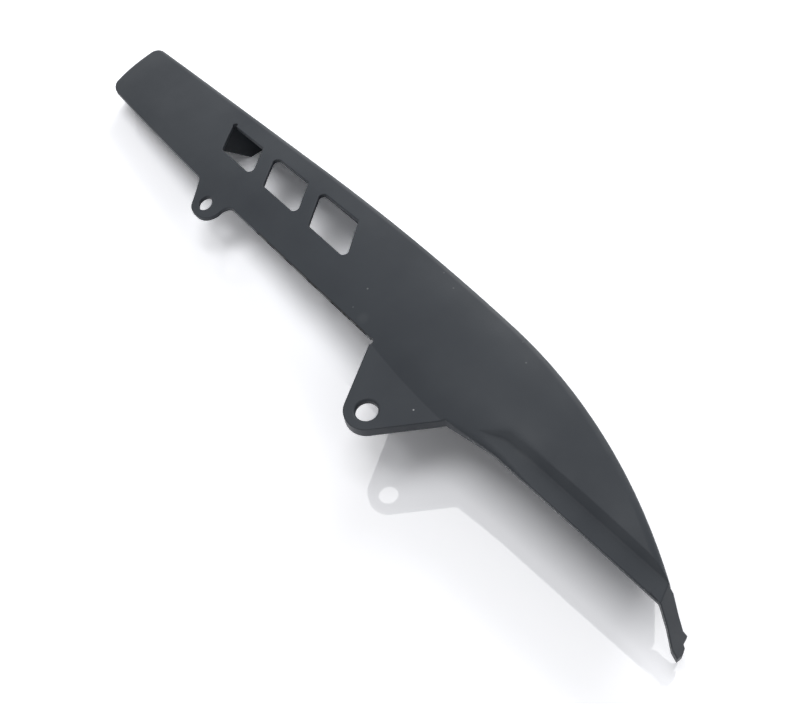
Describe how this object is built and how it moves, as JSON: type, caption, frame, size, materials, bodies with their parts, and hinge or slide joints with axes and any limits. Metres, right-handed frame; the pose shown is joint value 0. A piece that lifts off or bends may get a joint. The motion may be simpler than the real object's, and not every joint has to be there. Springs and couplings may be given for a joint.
{
  "type": "motorcycle chain guard",
  "caption": "Moulded plastic chain guard for a small motorcycle, with slanted windows, a front ear, a drilled tab and a bent tail with a torn end.",
  "frame": {"origin": "axis of the rear tab's hole, at the foot of the chamfer on the tab's outer side", "axes": "+X from the front end to the rear tail, +Y towards the curved top edge, +Z outboard along the tab's bolt; it lies with the outer face up"},
  "size_m": [0.3826, 0.0757, 0.0397],
  "materials": {
    "guard_plastic": "satin black, fine moulded grain, a few light specks"
  },
  "bodies": {
    "root": {"chain_guard": "guard_plastic"}
  },
  "joints": []
}
